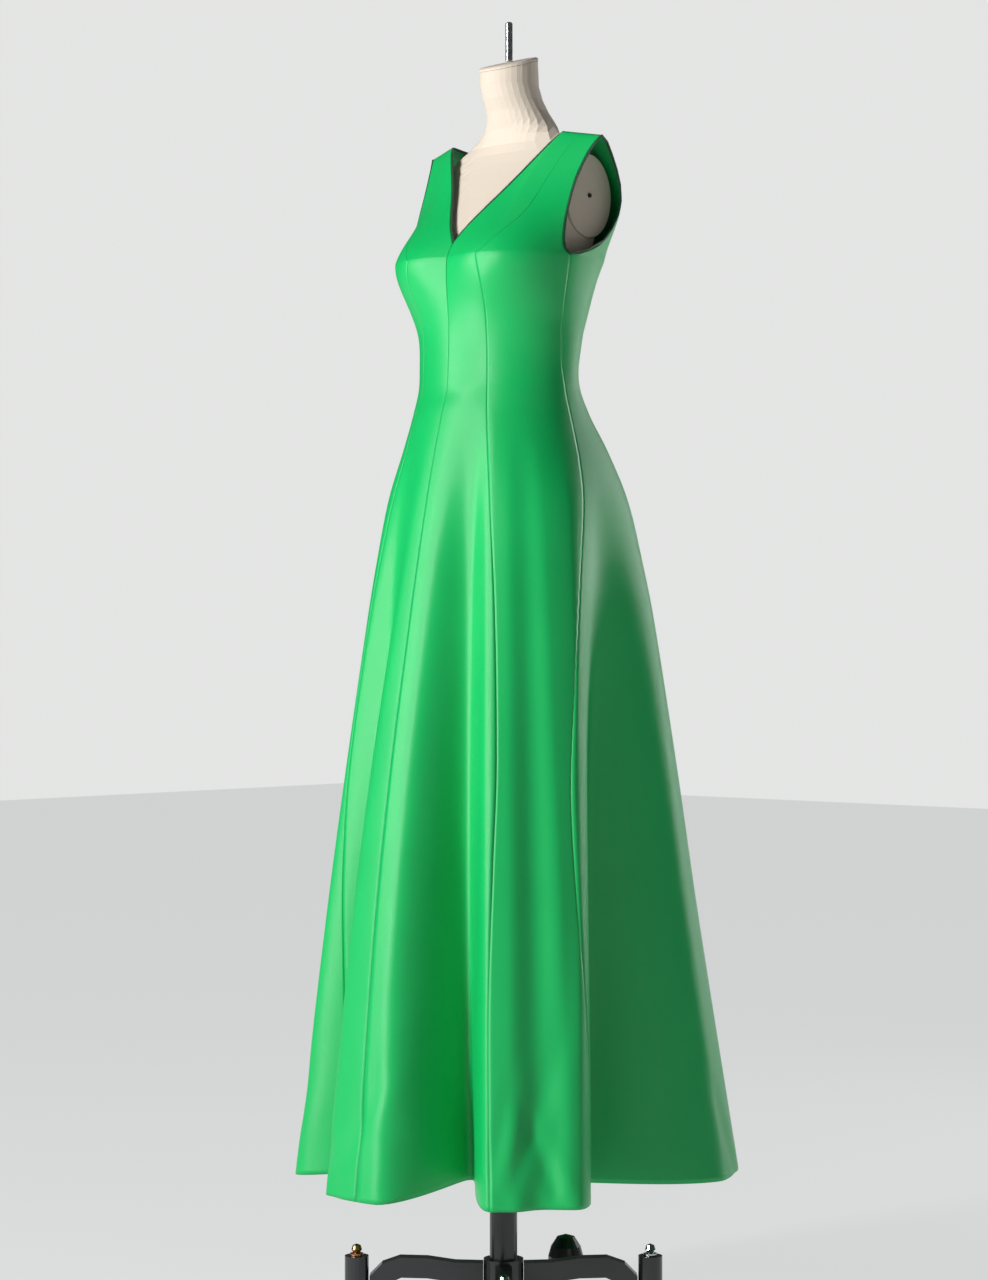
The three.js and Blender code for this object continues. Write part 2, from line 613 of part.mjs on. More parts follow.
// A leg's side view is drawn outwards along X, given its width and turned round the pole.
function leg() {
  const outline = new THREE.Shape([...LEG_TOP, ...LEG_UNDERSIDE].map(([x, y]) => new THREE.Vector2(x, y)));
  const geometry = new THREE.ExtrudeGeometry(outline, { depth: LEG.wide, bevelEnabled: false });
  return geometry.translate(0, 0, -LEG.wide / 2).rotateX(Math.PI / 2);
}

for (let i = 0; i < LEG.count; i += 1) {
  const angle = LEG.turn + (360 * i) / LEG.count;
  const turn = radians(angle - 90);
  const [x, y] = [POST.reach * Math.cos(turn), POST.reach * Math.sin(turn)];
  add(`leg_${i + 1}`, leg(), 'iron').rotation.z = turn;
  turned(`post_${i + 1}`, disc(POST.radius, POST.bottom, POST.top), 'iron', x, y, 20);
  turned(`glide_${i + 1}`, disc(GLIDE.radius, 0, GLIDE.thick), 'rubber', x, y, 20);
  const low = POST.top + SEAM_GAP;
  turned(`post_knob_${i + 1}`, [
    [0, low],
    [KNOB.radius * 1.25, low],
    [KNOB.radius * 1.25, low + 3],
    [KNOB.radius * 0.6, low + 4],
    [KNOB.radius, low + 0.5 * KNOB.rise],
    [KNOB.radius * 0.75, low + 0.85 * KNOB.rise],
    [0, low + KNOB.rise],
  ], i === 3 ? 'brass' : 'chrome', x, y, 14);
}

const pedalTurn = radians(PEDAL.turn - 90);
const [pedalX, pedalY] = [PEDAL.reach * Math.cos(pedalTurn), PEDAL.reach * Math.sin(pedalTurn)];
turned('pedal_dome', [
  [0, PEDAL.low],
  [PEDAL.radius, PEDAL.low],
  [PEDAL.radius, PEDAL.low + 6],
  [PEDAL.radius * 0.85, PEDAL.low + 20],
  [PEDAL.radius * 0.5, PEDAL.high - 4],
  [0, PEDAL.high],
], 'iron', pedalX, pedalY);

// The origin is the middle of the whole box, on the floor.
const box = new THREE.Box3().setFromObject(group);
const middle = box.getCenter(new THREE.Vector3());
group.position.set(-middle.x, -middle.y, 0);

export default group;
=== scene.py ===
# %% [markdown]
# # A satin bridesmaid gown on a dress form
#
# The gown hangs on a limbless form with an iron stand. The frame gives every rigid piece its place, and
# those pieces keep the frame's shapes here, with finer materials. The eight gores of the gown are made
# again as fine cloth, on the same sections, seams and folds as the frame's.

# %% Load the frame
import json
import math

import bmesh
import bpy
import numpy as np
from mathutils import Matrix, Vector


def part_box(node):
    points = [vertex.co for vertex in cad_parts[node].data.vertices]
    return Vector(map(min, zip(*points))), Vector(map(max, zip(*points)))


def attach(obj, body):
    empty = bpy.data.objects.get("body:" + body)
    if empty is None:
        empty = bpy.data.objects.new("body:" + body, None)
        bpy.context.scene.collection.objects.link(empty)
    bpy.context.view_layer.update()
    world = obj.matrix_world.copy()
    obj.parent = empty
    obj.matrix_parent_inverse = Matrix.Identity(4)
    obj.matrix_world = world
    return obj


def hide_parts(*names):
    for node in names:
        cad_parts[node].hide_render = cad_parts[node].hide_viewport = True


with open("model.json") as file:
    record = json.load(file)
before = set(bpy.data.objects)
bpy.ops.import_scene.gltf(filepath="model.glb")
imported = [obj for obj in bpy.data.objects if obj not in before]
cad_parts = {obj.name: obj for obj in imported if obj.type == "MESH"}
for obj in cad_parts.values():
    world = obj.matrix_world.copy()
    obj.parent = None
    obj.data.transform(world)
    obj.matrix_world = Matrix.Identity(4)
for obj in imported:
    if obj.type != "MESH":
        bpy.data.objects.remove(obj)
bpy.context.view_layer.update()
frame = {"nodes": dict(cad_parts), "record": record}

MM = 0.001
pole_low, pole_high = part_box("pole")
POLE_X = (pole_low[0] + pole_high[0]) / 2
POLE_Y = (pole_low[1] + pole_high[1]) / 2
print("pole at", round(POLE_X, 4), round(POLE_Y, 4))

# %% [markdown]
# ## The gown's shape
#
# A gown with no waist seam is a set of long gores. Level sections give its outline, rounds give the bust
# and the shoulder blades, and a table of folds gives the deep flutes in which the heavy satin falls.
# Angles go round the pole in degrees from the centre front towards the wearer's left. Lengths are in
# millimetres.

# %% Sections, rounds and folds
HEM_Z, BUST_Z = 241, 1558
FRONT_POWER, BACK_POWER = 2, 2.3
BODY_COLUMNS = ("z", "half", "front", "back")
BODY = np.array([
    (241, 298, 304, 366),
    (611, 247, 268, 303),
    (835, 219, 236, 268),
    (1046, 197, 197, 224),
    (1123, 187, 182, 203),
    (1217, 171, 162, 174),
    (1291, 145, 144, 140),
    (1340, 131, 131, 100),
    (1385, 125, 120, 71),
    (1449, 127, 116, 82),
    (1497, 135, 114, 98),
    (1558, 146, 107, 116),
], float)

# Angle, height, width in degrees, reach up, reach down, rise.
ROUNDS = [
    (35, 1556, 24, 50, 46, 38),  # bust
    (120, 1650, 28, 62, 50, 30),  # shoulder blade
]

# Top, angle at the top, angle at the hem, width to either side, depth at the hem, how it grows, how flat
# its floor is, and how far it lifts the hem.
FOLDS = [
    (1345, 24, 26, 20, 12.5, 140, 1.05, 1, 18),
    (1300, 52, 52, 9, 9, 13, 0.7, 1, 0),
    (1275, 101, 89, 27, 32, 158, 1.0, 0.8, 2),
    (1290, 160, 160, 16, 15, 85, 1.1, 1, 6),
    (1325, -24, -31, 15, 19, 128, 1.1, 1, 12),
    (1280, -56, -55, 9, 8, 10, 0.8, 1, 0),
    (1260, -100, -93, 30, 27, 148, 1.05, 0.85, 3),
    (1300, -156, -157, 17, 15, 78, 1.1, 1, 5),
]
LIFT_REACH = 320

SEAM_COLUMNS = ("z", "front", "side", "back")
SEAMS = np.array([
    (241, 38.3, 72, 141),
    (500, 37.5, 68, 141),
    (700, 38.5, 66, 142),
    (842, 39.5, 67, 143),
    (1062, 38.2, 75, 144),
    (1217, 35, 84, 146),
    (1316, 32, 88, 147),
    (1368, 31, 86, 148),
    (1425, 30.6, 83, 149),
    (1497, 29.5, 81, 150),
    (1558, 26, 80, 150),
], float)

STRAP_COLUMNS = ("climb", "front", "arm_front", "arm_back", "back")
STRAPS = np.array([
    (0, 26, 80, 80, 150),
    (0.03, 29, 75.5, 94, 149),
    (0.09, 33, 72.5, 107, 146),
    (0.16, 38, 70.8, 113.5, 142),
    (0.24, 43, 69.3, 117, 138),
    (0.33, 46, 68, 118.5, 135),
    (0.44, 47.3, 66.5, 118.7, 133),
    (0.56, 48, 65, 118.4, 132),
    (0.7, 48.3, 63.8, 118.2, 131.6),
    (0.85, 48.5, 62.6, 118, 131.5),
    (1, 48.5, 62, 118, 131.5),
], float)

SHOULDER_NECK = dict(angle=35, x=109, y=8, z=1741)
SHOULDER_ARM = dict(angle=62, x=163, y=26, z=1732)
FRONT_LEAN, BACK_LEAN = 1, 2.2
FRONT_RISE, BACK_RISE = 1.25, 1.7
FAN = 1.5
FRONT_POINT, BACK_POINT = 0.09, 0.33


# %% [markdown]
# A smooth curve through a table's rows turns a dozen sections into a whole gown.

# %% Curves through the tables
def smooth(table, columns, name, x):
    """The value of one column at x, on a smooth curve through the table's rows."""
    keys = table[:, 0]
    values = table[:, columns.index(name)]
    slopes = np.empty(len(keys))
    slopes[1:-1] = (values[2:] - values[:-2]) / (keys[2:] - keys[:-2])
    slopes[0] = (values[1] - values[0]) / (keys[1] - keys[0])
    slopes[-1] = (values[-1] - values[-2]) / (keys[-1] - keys[-2])
    x = np.clip(x, keys[0], keys[-1])
    i = np.clip(np.searchsorted(keys, x, side="right") - 1, 0, len(keys) - 2)
    span = keys[i + 1] - keys[i]
    rise = values[i + 1] - values[i]
    t = (x - keys[i]) / span
    a = slopes[i] * span - rise
    b = rise - slopes[i + 1] * span
    return values[i] + rise * t + t * (1 - t) * (a * (1 - t) + b * t)


def bell(x):
    return np.exp(-0.5 * x * x)


def rounds_at(angle, z):
    """How far the bust and the shoulder blades stand out."""
    out = np.zeros(np.broadcast(angle, z).shape)
    for place, height, wide, up, down, rise in ROUNDS:
        across = (np.abs(angle) - place) / wide
        along = (z - height) / np.where(z > height, up, down)
        out = out + rise * bell(across) * bell(along)
    return out


def section_radius(angle, z):
    """The plain level section, rounder at the front than at the back."""
    sine = np.abs(np.sin(np.radians(angle)))
    cosine = np.cos(np.radians(angle))
    half = smooth(BODY, BODY_COLUMNS, "half", z)
    front = smooth(BODY, BODY_COLUMNS, "front", z)
    back = smooth(BODY, BODY_COLUMNS, "back", z)
    depth = np.where(cosine > 0, front, back)
    power = np.where(cosine > 0, FRONT_POWER, BACK_POWER)
    return ((sine / half) ** power + (np.abs(cosine) / depth) ** power) ** (-1 / power)


def folds_at(angle, z):
    """How deep the folds sink and how far they lift the hem."""
    sunk = np.zeros(angle.shape)
    lift = np.zeros(angle.shape)
    near = np.maximum(0, 1 - (z - HEM_Z) / LIFT_REACH) ** 2
    for top, start, end, less, more, depth, grow, flat, raised in FOLDS:
        fallen = np.clip((top - z) / (top - HEM_Z), 0, None)
        centre = start + (end - start) * fallen
        away = (angle - centre + 180) % 360 - 180
        share = np.clip(np.abs(away) / np.where(away < 0, less, more), 0, 1)
        amount = fallen ** grow * (0.5 + 0.5 * np.cos(np.pi * share)) ** flat
        sunk += depth * amount
        lift += raised * amount * near
    return sunk, lift


# %% [markdown]
# Satin never falls in perfectly clean flutes: short slanting creases cross the crests near the hem, the
# side seam pulls into small puckers, and the blind-stitched hem rolls a little.

# %% Small creases
# Angle, height, length, width, slant, depth.
CREASES = [
    (46, 300, 75, 12, 0.35, 3.2),
    (55, 285, 60, 10, -0.40, 2.8),
    (40.5, 330, 60, 9, 0.20, 2.0),
    (58, 420, 110, 12, 0.10, 2.2),
    (-2, 330, 70, 13, 0.50, 2.6),
    (12, 300, 80, 14, -0.30, 2.4),
    (4, 420, 120, 16, 0.22, 1.8),
    (24, 330, 80, 16, -0.25, 3.0),
    (110, 320, 70, 14, 0.30, 2.6),
    (128, 300, 60, 12, -0.35, 2.8),
    (-12, 290, 60, 12, -0.4, 2.2),
    (-48, 320, 80, 14, 0.3, 2.6),
    (-66, 300, 70, 13, -0.3, 2.4),
    (-130, 310, 80, 14, 0.3, 2.6),
    (175, 300, 80, 14, -0.3, 2.4),
    (-172, 380, 110, 15, 0.2, 2.0),
    (14, 1372, 16, 60, 3.0, 1.4),
    (-14, 1368, 16, 60, -3.0, 1.2),
    (66, 1420, 22, 60, -1.6, 1.6),
    (58, 1478, 20, 50, -2.0, 1.5),
    (-62, 1440, 22, 60, 1.6, 1.4),
]
RIDGE_SHARE, RIDGE_OFF = 0.55, 1.7
PUCKER_PITCH, PUCKER_DEPTH, PUCKER_WIDE = 21, 0.9, 9
PUCKER_Z, PUCKER_REACH = 1000, 130
DRIFT, DRIFT_PITCH = 0.9, 37
HEM_PITCH, HEM_DEPTH, HEM_STITCH, HEM_WIDE = 34, 0.5, 22, 9


def creases_at(angle, z, radius):
    """Each crease is a soft trough with a lower ridge beside it."""
    sunk = np.zeros(angle.shape)
    for place, height, long, wide, slope, depth in CREASES:
        across = np.radians((angle - place + 180) % 360 - 180) * radius
        along = z - height
        off = across - slope * along
        ridge = RIDGE_SHARE * bell((off - RIDGE_OFF * wide) / wide)
        sunk += depth * (bell(off / wide) - ridge) * bell(along / long)
    return sunk


def puckers_at(angle, z, side_angle, radius):
    """Small waves beside the side seam between the hip and the knee, and above the hem."""
    off = np.radians(np.abs(angle) - side_angle) * radius
    reach = bell((z - PUCKER_Z) / PUCKER_REACH)
    wave = np.sin(2 * np.pi * z / PUCKER_PITCH + DRIFT * np.sin(z / DRIFT_PITCH))
    seam = PUCKER_DEPTH * wave * bell(off / PUCKER_WIDE) * reach
    ripple = np.sin(np.radians(angle) * radius * 2 * np.pi / HEM_PITCH)
    hem = HEM_DEPTH * ripple * bell((z - HEM_Z - HEM_STITCH) / HEM_WIDE)
    return seam + hem


# %% [markdown]
# Below the bust a place on the gown is an angle and a height. Above it, each line climbs and leans in to
# the shoulder line, which is how a strap is cut in one with its gore.

# %% Places on the gown
def skirt_place(angle, z):
    radius = section_radius(angle, z) + rounds_at(angle, z)
    sunk, lift = folds_at(angle, z)
    side = smooth(SEAMS, SEAM_COLUMNS, "side", z)
    radius = radius - sunk
    small = creases_at(angle, z, radius) + puckers_at(angle, z, side, radius)
    radius = radius - small
    turn = np.radians(angle)
    return np.stack([radius * np.sin(turn), -radius * np.cos(turn), z + lift], axis=-1)


def strap_place(angle, climb):
    side = np.where(angle < 0, -1.0, 1.0)
    turned = np.abs(angle)
    front = turned < 90
    reach = np.where(front, turned, 180 - turned)
    span = SHOULDER_ARM["angle"] - SHOULDER_NECK["angle"]
    along = (reach - SHOULDER_NECK["angle"]) / span
    on_strap = np.maximum(along, 0)
    move = {k: SHOULDER_ARM[k] - SHOULDER_NECK[k] for k in "xyz"}
    inner_x = SHOULDER_NECK["x"] * reach / SHOULDER_NECK["angle"]
    top_x = np.where(along < 0, inner_x, SHOULDER_NECK["x"] + move["x"] * along)
    top_y = SHOULDER_NECK["y"] + move["y"] * on_strap
    top_z = SHOULDER_NECK["z"] + move["z"] * on_strap
    turn = np.radians(turned)
    radius = section_radius(turned, np.full(turned.shape, float(BUST_Z)))
    lean = climb ** np.where(front, FRONT_LEAN, BACK_LEAN)
    rise = 1 - (1 - climb) ** np.where(front, FRONT_RISE, BACK_RISE)
    x = radius * np.sin(turn)
    y = -radius * np.cos(turn)
    x = x + (top_x - x) * climb ** FAN
    y = y + (top_y - y) * lean
    z = BUST_Z + (top_z - BUST_Z) * rise
    out = rounds_at(turned, z) * (1 - climb ** 3)
    return np.stack([side * (x + out * np.sin(turn)), y - out * np.cos(turn), z], axis=-1)


def gown_place(angle, z, climb):
    low = skirt_place(angle, z)
    high = strap_place(angle, np.clip(climb, 0, 1))
    return np.where((climb > 0)[..., None], high, low)


# %% [markdown]
# The straight necklines are found by halving: the angle at which a row of cloth meets the line from the
# point of the V to the shoulder.

# %% Edges of the gores
HALVINGS = 30


def neckline_angle(climb, is_back):
    point = BACK_POINT if is_back else FRONT_POINT
    start = 180.0 if is_back else 0.0
    point_z = strap_place(np.array([start]), np.array([point]))[0, 2]
    low, high = np.zeros(climb.shape), np.full(climb.shape, float(SHOULDER_NECK["angle"]))
    for _ in range(HALVINGS):
        reach = (low + high) / 2
        place = strap_place(180 - reach if is_back else reach, climb)
        edge = SHOULDER_NECK["x"] * (place[..., 2] - point_z) / (SHOULDER_NECK["z"] - point_z)
        inside = place[..., 0] < edge
        low = np.where(inside, reach, low)
        high = np.where(inside, high, reach)
    return 180 - high if is_back else high


def seam_angle(below, above, z, climb):
    low = smooth(SEAMS, SEAM_COLUMNS, below, z)
    high = smooth(STRAPS, STRAP_COLUMNS, above, climb)
    return np.where(climb > 0, high, low)


def edge_angle(edge, z, climb):
    if edge == "centre_front":
        return np.where(climb > FRONT_POINT, neckline_angle(climb, False), 0.0)
    if edge == "centre_back":
        return np.where(climb > BACK_POINT, neckline_angle(climb, True), 180.0)
    below, above = {
        "front_seam": ("front", "front"),
        "side_front": ("side", "arm_front"),
        "side_back": ("side", "arm_back"),
        "back_seam": ("back", "back"),
    }[edge]
    return seam_angle(below, above, z, climb)


# %% [markdown]
# The rows lie close together, so that a crease a centimetre wide is still soft. They crowd together
# towards the foot of the straps, and one passes through the point of each V.

# %% Rows of the cloth
STEP_Z = 7
STRAP_ROWS, CROWDING = 45, 1.4
LOW_ROWS = np.linspace(HEM_Z, BUST_Z, int((BUST_Z - HEM_Z) / STEP_Z) + 1)
EVEN_CLIMB = np.linspace(0, 1, STRAP_ROWS)[1:]
HIGH_ROWS = np.unique(np.concatenate([EVEN_CLIMB ** CROWDING, [FRONT_POINT, BACK_POINT]]))
ROW_Z = np.concatenate([LOW_ROWS, np.full(len(HIGH_ROWS), float(BUST_Z))])
ROW_CLIMB = np.concatenate([np.zeros(len(LOW_ROWS)), HIGH_ROWS])
print("rows of cloth:", len(ROW_Z))

# %% [markdown]
# ## Materials
#
# The gown is a heavy satin: a smooth face with a soft, wide highlight, a fine weave with slubs and a
# slight unevenness that keeps the light from lying on it like paint. The weave follows each gore's own UV
# map, so that it runs with the cloth. Two groups serve every material here.

# %% Shader groups
SLUB_SCALE = (18.0, 420.0, 1.0)


def socket(group, name, direction, kind):
    group.interface.new_socket(name=name, in_out=direction, socket_type=kind)


def make_weave_group():
    """Height of a fine weave from a UV in metres: threads across and along, and slubs."""
    group = bpy.data.node_groups.new("Weave", "ShaderNodeTree")
    socket(group, "Vector", "INPUT", "NodeSocketVector")
    socket(group, "Threads", "INPUT", "NodeSocketFloat")
    socket(group, "Slub", "INPUT", "NodeSocketFloat")
    socket(group, "Height", "OUTPUT", "NodeSocketFloat")
    nodes, links = group.nodes, group.links
    inlet, outlet = nodes.new("NodeGroupInput"), nodes.new("NodeGroupOutput")
    split = nodes.new("ShaderNodeSeparateXYZ")
    links.new(inlet.outputs["Vector"], split.inputs[0])
    waves = []
    for axis in ("X", "Y"):
        scale = nodes.new("ShaderNodeMath")
        scale.operation = "MULTIPLY"
        links.new(split.outputs[axis], scale.inputs[0])
        links.new(inlet.outputs["Threads"], scale.inputs[1])
        wave = nodes.new("ShaderNodeMath")
        wave.operation = "SINE"
        links.new(scale.outputs[0], wave.inputs[0])
        waves.append(wave)
    product = nodes.new("ShaderNodeMath")
    product.operation = "MULTIPLY"
    links.new(waves[0].outputs[0], product.inputs[0])
    links.new(waves[1].outputs[0], product.inputs[1])
    slubs = nodes.new("ShaderNodeTexNoise")
    slubs.inputs["Scale"].default_value = 1.0
    stretch = nodes.new("ShaderNodeMapping")
    stretch.inputs["Scale"].default_value = SLUB_SCALE
    links.new(inlet.outputs["Vector"], stretch.inputs["Vector"])
    links.new(stretch.outputs[0], slubs.inputs["Vector"])
    blend = nodes.new("ShaderNodeMix")
    links.new(inlet.outputs["Slub"], blend.inputs["Factor"])
    links.new(product.outputs[0], blend.inputs[2])
    links.new(slubs.outputs["Fac"], blend.inputs[3])
    links.new(blend.outputs[0], outlet.inputs["Height"])
    return group


def make_tone_group():
    """A colour that drifts between two tones with soft clouds."""
    group = bpy.data.node_groups.new("Tone", "ShaderNodeTree")
    socket(group, "Vector", "INPUT", "NodeSocketVector")
    socket(group, "Scale", "INPUT", "NodeSocketFloat")
    socket(group, "Light", "INPUT", "NodeSocketColor")
    socket(group, "Deep", "INPUT", "NodeSocketColor")
    socket(group, "Color", "OUTPUT", "NodeSocketColor")
    socket(group, "Cloud", "OUTPUT", "NodeSocketFloat")
    nodes, links = group.nodes, group.links
    inlet, outlet = nodes.new("NodeGroupInput"), nodes.new("NodeGroupOutput")
    noise = nodes.new("ShaderNodeTexNoise")
    noise.inputs["Detail"].default_value = 3.0
    links.new(inlet.outputs["Vector"], noise.inputs["Vector"])
    links.new(inlet.outputs["Scale"], noise.inputs["Scale"])
    mix = nodes.new("ShaderNodeMix")
    mix.data_type = "RGBA"
    links.new(noise.outputs["Fac"], mix.inputs["Factor"])
    links.new(inlet.outputs["Deep"], mix.inputs[6])
    links.new(inlet.outputs["Light"], mix.inputs[7])
    links.new(mix.outputs[2], outlet.inputs["Color"])
    links.new(noise.outputs["Fac"], outlet.inputs["Cloud"])
    return group


WEAVE = make_weave_group()
TONE = make_tone_group()


# %% [markdown]
# Satin is smooth and shines softly, and the form's linen hardly shines at all. The edging is duller, and
# its dark green is painted shade: the shadow in the gap between gown and form, and the inside of the
# turned edge in shade.

# %% Cloth materials
CLOTH_CLOUDS, METAL_CLOUDS = 5.0, 30.0
WEAVE_STRENGTH, SHEEN_ROUGHNESS = 0.35, 0.35
SMOOTHER, ROUGHER = 0.04, 0.05


def plain_material(name):
    material = bpy.data.materials.new(name)
    material.use_nodes = True
    nodes = material.node_tree.nodes
    return material, nodes, material.node_tree.links, nodes["Principled BSDF"]


def place_group(nodes, group, **values):
    node = nodes.new("ShaderNodeGroup")
    node.node_tree = group
    for key, value in values.items():
        node.inputs[key].default_value = value
    return node


def cloth_material(name, light, deep, rough, sheen, threads, slub, bump, coords="UV"):
    material, nodes, links, shader = plain_material(name)
    place = nodes.new("ShaderNodeTexCoord")
    tone = place_group(nodes, TONE, Scale=CLOTH_CLOUDS, Light=light, Deep=deep)
    links.new(place.outputs[coords], tone.inputs["Vector"])
    links.new(tone.outputs["Color"], shader.inputs["Base Color"])
    weave = place_group(nodes, WEAVE, Threads=threads, Slub=slub)
    links.new(place.outputs[coords], weave.inputs["Vector"])
    raised = nodes.new("ShaderNodeBump")
    raised.inputs["Strength"].default_value = WEAVE_STRENGTH
    raised.inputs["Distance"].default_value = bump
    links.new(weave.outputs["Height"], raised.inputs["Height"])
    links.new(raised.outputs["Normal"], shader.inputs["Normal"])
    spread = nodes.new("ShaderNodeMapRange")
    spread.inputs["To Min"].default_value = rough - SMOOTHER
    spread.inputs["To Max"].default_value = rough + ROUGHER
    links.new(tone.outputs["Cloud"], spread.inputs["Value"])
    links.new(spread.outputs[0], shader.inputs["Roughness"])
    shader.inputs["Sheen Weight"].default_value = sheen
    shader.inputs["Sheen Roughness"].default_value = SHEEN_ROUGHNESS
    return material


SATIN = cloth_material(
    "green satin", (0.001, 0.47, 0.11, 1), (0.001, 0.38, 0.085, 1),
    rough=0.36, sheen=0.05, threads=5200.0, slub=0.45, bump=0.0004)
SATIN_SHEEN = (0.3, 1.0, 0.6, 1)
SATIN.node_tree.nodes["Principled BSDF"].inputs["Sheen Tint"].default_value = SATIN_SHEEN
# The edging is a real turned edge, but its dark green is painted shade for the shadow along the armholes
# and the V.
EDGE_SHADE = cloth_material(
    "edging painted shade", (0.012, 0.075, 0.035, 1), (0.006, 0.045, 0.02, 1),
    rough=0.55, sheen=0.1, threads=3000.0, slub=0.3, bump=0.0003, coords="Object")
LINEN = cloth_material(
    "form linen", (0.64, 0.56, 0.47, 1), (0.58, 0.50, 0.41, 1),
    rough=0.85, sheen=0.15, threads=4200.0, slub=0.5, bump=0.0005, coords="Object")

# %% [markdown]
# The stand is cast iron under gloss black enamel, which is a coat and not a metal surface. The pole, the
# neck rod and the knobs are bare metal, and the glides are rubber.

# %% Hard materials
DEEPER, POLISHED, WORN = 0.8, 0.7, 1.3


def metal_material(name, color, rough, metallic, coat=0.0):
    material, nodes, links, shader = plain_material(name)
    place = nodes.new("ShaderNodeTexCoord")
    deep = tuple(c * DEEPER for c in color[:3]) + (1,)
    tone = place_group(nodes, TONE, Scale=METAL_CLOUDS, Light=color, Deep=deep)
    links.new(place.outputs["Object"], tone.inputs["Vector"])
    links.new(tone.outputs["Color"], shader.inputs["Base Color"])
    spread = nodes.new("ShaderNodeMapRange")
    spread.inputs["To Min"].default_value = rough * POLISHED
    spread.inputs["To Max"].default_value = rough * WORN
    links.new(tone.outputs["Cloud"], spread.inputs["Value"])
    links.new(spread.outputs[0], shader.inputs["Roughness"])
    shader.inputs["Metallic"].default_value = metallic
    shader.inputs["Coat Weight"].default_value = coat
    return material


CHROME = metal_material("chrome", (0.62, 0.62, 0.63, 1), rough=0.12, metallic=1.0)
IRON = metal_material("black enamel", (0.016, 0.016, 0.018, 1), rough=0.34, metallic=0.0, coat=0.35)
BRASS = metal_material("worn brass", (0.55, 0.29, 0.12, 1), rough=0.3, metallic=1.0)
RUBBER = metal_material("glide rubber", (0.03, 0.03, 0.03, 1), rough=0.75, metallic=0.0)


# %% [markdown]
# ## The gores
#
# Each gore starts as a flat grid. Its columns are spread evenly along the cloth between its two seams,
# its rows climb from the hem to the shoulder, and every point is then moved on to the gown's surface. The
# cloth's thickness goes on last, inwards.

# %% Make one gore
ARC_SAMPLES = 260
CLOTH = 1.6 * MM
COLUMNS = 40


def even_angles(first, second, side):
    """Angles evenly spaced along the cloth in each row, with the width of each row."""
    from_angle = edge_angle(first, ROW_Z, ROW_CLIMB)[:, None]
    to_angle = edge_angle(second, ROW_Z, ROW_CLIMB)[:, None]
    share = np.linspace(0, 1, ARC_SAMPLES + 1)[None, :]
    angles = side * (from_angle + (to_angle - from_angle) * share)
    z = np.repeat(ROW_Z[:, None], ARC_SAMPLES + 1, axis=1)
    climb = np.repeat(ROW_CLIMB[:, None], ARC_SAMPLES + 1, axis=1)
    places = gown_place(angles, z, climb)
    steps = np.linalg.norm(np.diff(places, axis=1), axis=-1)
    lengths = np.concatenate([np.zeros((len(ROW_Z), 1)), np.cumsum(steps, axis=1)], axis=1)
    wanted = np.linspace(0, 1, COLUMNS + 1)
    even = np.stack([np.interp(wanted * l[-1], l, a) for l, a in zip(lengths, angles)])
    return even, lengths[:, -1]


def finish_piece(name, bm, material):
    mesh = bpy.data.meshes.new(name)
    bm.to_mesh(mesh)
    bm.free()
    mesh.materials.append(material)
    for polygon in mesh.polygons:
        polygon.use_smooth = True
    piece = bpy.data.objects.new(name, mesh)
    bpy.context.scene.collection.objects.link(piece)
    return piece


def make_gore(name, first, second, side):
    angles, widths = even_angles(first, second, side)
    rows = len(ROW_Z)
    z = np.repeat(ROW_Z[:, None], COLUMNS + 1, axis=1)
    climb = np.repeat(ROW_CLIMB[:, None], COLUMNS + 1, axis=1)
    places = gown_place(angles, z, climb)
    middle = places[:, COLUMNS // 2]
    runs = np.concatenate([[0], np.cumsum(np.linalg.norm(np.diff(middle, axis=0), axis=-1))])
    bm = bmesh.new()
    bmesh.ops.create_grid(bm, x_segments=COLUMNS, y_segments=rows - 1, size=0.5)
    uv = bm.loops.layers.uv.new("cloth")
    at = {}
    for v in bm.verts:
        column = round((v.co.x + 0.5) * COLUMNS)
        row = round((v.co.y + 0.5) * (rows - 1))
        x, y, height = places[row, column] * MM
        v.co = (x + POLE_X, y + POLE_Y, height)
        at[v] = ((column / COLUMNS - 0.5) * widths[row] * MM, runs[row] * MM)
    for face in bm.faces:
        for loop in face.loops:
            loop[uv].uv = at[loop.vert]
    if side < 0:
        bmesh.ops.reverse_faces(bm, faces=bm.faces)
    area = sum(face.calc_area() for face in bm.faces)
    piece = finish_piece(name, bm, SATIN)
    wall = piece.modifiers.new("cloth", "SOLIDIFY")
    wall.thickness = CLOTH
    wall.offset = -1
    wall.use_even_offset = False
    return piece, area, widths.max() * MM, runs[-1] * MM


# %% [markdown]
# Each gore's greatest width, its length and its flat area are measured on the gore as made here, and
# don't come from a pattern.

# %% Make all eight gores
GORES = [
    ("front_centre", "centre_front", "front_seam"),
    ("front_side", "front_seam", "side_front"),
    ("back_side", "side_back", "back_seam"),
    ("back_centre", "back_seam", "centre_back"),
]
for word, side in (("left", 1), ("right", -1)):
    for stem, first, second in GORES:
        node = f"{stem}_{word}"
        gore, area, width, length = make_gore(f"gore_{node}", first, second, side)
        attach(gore, "form")
        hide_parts(node)

# %% [markdown]
# ## The studio
#
# The camera stands level, in front of the wearer's left hip.

# %% Camera
AZIMUTH = math.radians(42)
DISTANCE, EYE, ASIDE = 4.310, 1.014, -0.0138
LENS, SENSOR = 83.53, 36
right = Vector((math.cos(AZIMUTH), math.sin(AZIMUTH), 0))
back = Vector((math.sin(AZIMUTH), -math.cos(AZIMUTH), 0))
camera_data = bpy.data.cameras.new("camera")
camera_data.lens = LENS
camera_data.sensor_width = SENSOR
camera = bpy.data.objects.new("camera", camera_data)
camera.location = Vector((POLE_X, POLE_Y, EYE)) + back * DISTANCE + right * ASIDE
camera.rotation_euler = (math.radians(90), 0, AZIMUTH)
bpy.context.scene.collection.objects.link(camera)
bpy.context.scene.camera = camera


